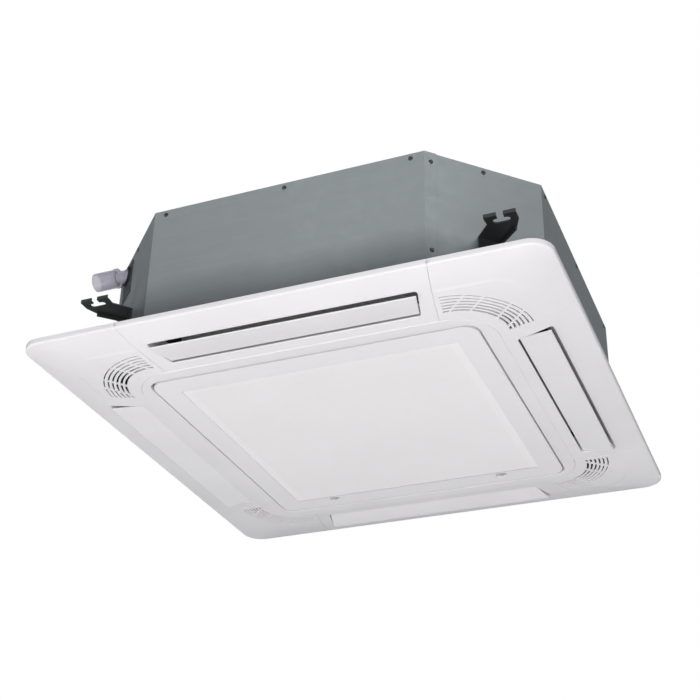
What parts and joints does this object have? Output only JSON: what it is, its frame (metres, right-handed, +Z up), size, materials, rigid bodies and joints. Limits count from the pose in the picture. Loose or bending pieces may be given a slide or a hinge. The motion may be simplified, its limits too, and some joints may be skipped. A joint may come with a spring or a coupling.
{
  "type": "ceiling cassette air conditioner",
  "caption": "Square ceiling cassette air conditioner with a hinged intake grille, tilting outlet vanes, vented corner covers and a hung sheet-metal casing with coil, fan and drain pump.",
  "frame": {"origin": "centre of the panel's back face, in the ceiling plane", "axes": "+Z up into the ceiling void, the grille's hinge side faces -Y, the drain socket points to -X"},
  "size_m": [0.95, 0.95, 0.2899],
  "materials": {
    "panel_white": "fine satin white moulding",
    "grille_white": "fine satin white moulding",
    "vane_white": "satin white moulding",
    "galvanized": "galvanized sheet, dull spangle",
    "dark_plate": "dark plated sheet",
    "black_steel": "black coated steel",
    "zinc": "zinc plated",
    "screw_dark": "blackened screw heads",
    "foam_white": "moulded foam",
    "foam_grey": "soft foam strip",
    "aluminium": "plain fin stock",
    "copper": "drawn copper tube",
    "brass": "turned brass",
    "rubber_black": "moulded rubber",
    "motor_grey": "painted housing",
    "steel": "turned steel",
    "fan_dark": "moulded fan",
    "bell_grey": "moulded tray",
    "pump_white": "moulded housing",
    "float_orange": "moulded float",
    "clear_socket": "clear tinted plastic",
    "board_green": "circuit board",
    "block_black": "terminal moulding",
    "filter_grey": "filter frame",
    "filter_mesh": "fine net",
    "latch_grey": "moulded knob"
  },
  "bodies": {
    "cassette": {"casing_top": "galvanized", "side_panel_front": "galvanized", "side_panel_right": "galvanized", "side_panel_back": "galvanized", "side_panel_left": "galvanized", "casing_screws": "screw_dark", "insulation_liner": "foam_white", "drain_pan": "foam_white", "duct_collars": "foam_grey", "bellmouth": "bell_grey", "hanger_front_right": "black_steel", "hanger_front_left": "black_steel", "hanger_back_right": "black_steel", "hanger_back_left": "black_steel", "coil_fins": "aluminium", "coil_end_plates": "galvanized", "coil_tubes": "copper", "gas_pipe": "copper", "liquid_pipe": "copper", "pipe_unions": "brass", "pipe_plate": "dark_plate", "cable_bush": "rubber_black", "fan_motor": "motor_grey", "motor_mounts": "rubber_black", "drain_pump": "pump_white", "pump_bracket": "galvanized", "float_stem": "pump_white", "drain_socket": "clear_socket", "drain_seal": "rubber_black", "drain_plate": "dark_plate", "control_box": "galvanized", "control_box_cover": "galvanized", "control_board": "board_green", "terminal_block": "block_black", "back_flange": "panel_white", "panel_ring": "panel_white", "grille_seat": "panel_white", "panel_sides": "panel_white", "panel_corners": "panel_white", "corner_covers": "panel_white", "duct_gaskets": "foam_grey", "panel_screws": "zinc", "vane_motors": "motor_grey", "grille_hinge_pins": "zinc"},
    "fan": {"fan_hub": "fan_dark", "fan_blades": "fan_dark", "fan_shroud": "fan_dark", "fan_nut": "zinc", "fan_shaft": "steel"},
    "impeller": {"pump_impeller": "pump_white"},
    "float": {"float": "float_orange"},
    "vane_front": {"vane_front": "vane_white"},
    "vane_right": {"vane_right": "vane_white"},
    "vane_back": {"vane_back": "vane_white"},
    "vane_left": {"vane_left": "vane_white"},
    "grille": {"intake_grille": "grille_white"},
    "filter": {"air_filter": "filter_mesh", "filter_frame": "filter_grey"},
    "latch_right": {"latch_right": "latch_grey"},
    "latch_left": {"latch_left": "latch_grey"}
  },
  "joints": [
    {"name": "vane_front_tilt", "type": "hinge", "parent": "cassette", "child": "vane_front", "pos_m": [0, -0.376, -0.016], "axis": [1, 0, 0], "range_deg": [-11, 47]},
    {"name": "vane_right_tilt", "type": "hinge", "parent": "cassette", "child": "vane_right", "pos_m": [0.376, 0, -0.016], "axis": [0, 1, 0], "range_deg": [-11, 47]},
    {"name": "vane_back_tilt", "type": "hinge", "parent": "cassette", "child": "vane_back", "pos_m": [0, 0.376, -0.016], "axis": [-1, 0, 0], "range_deg": [-11, 47]},
    {"name": "vane_left_tilt", "type": "hinge", "parent": "cassette", "child": "vane_left", "pos_m": [-0.376, 0, -0.016], "axis": [0, -1, 0], "range_deg": [-11, 47]},
    {"name": "grille_hinge", "type": "hinge", "parent": "cassette", "child": "grille", "pos_m": [0, -0.29, -0.0227], "axis": [-1, 0, 0], "range_deg": [0, 90]},
    {"name": "latch_right_slide", "type": "slide", "parent": "grille", "child": "latch_right", "axis": [0, -1, 0], "range_m": [0, 0.005]},
    {"name": "latch_left_slide", "type": "slide", "parent": "grille", "child": "latch_left", "axis": [0, -1, 0], "range_m": [0, 0.005]},
    {"name": "filter_slide", "type": "slide", "parent": "grille", "child": "filter", "axis": [0, 1, 0], "range_m": [0, 0.025]},
    {"name": "fan_spin", "type": "hinge", "parent": "cassette", "child": "fan", "pos_m": [0, 0, 0.15], "axis": [0, 0, 1], "continuous": true},
    {"name": "impeller_spin", "type": "hinge", "parent": "cassette", "child": "impeller", "pos_m": [-0.306, -0.297, 0.06], "axis": [0, 0, 1], "continuous": true},
    {"name": "float_rise", "type": "slide", "parent": "cassette", "child": "float", "axis": [0, 0, 1], "range_m": [0, 0.014]}
  ]
}
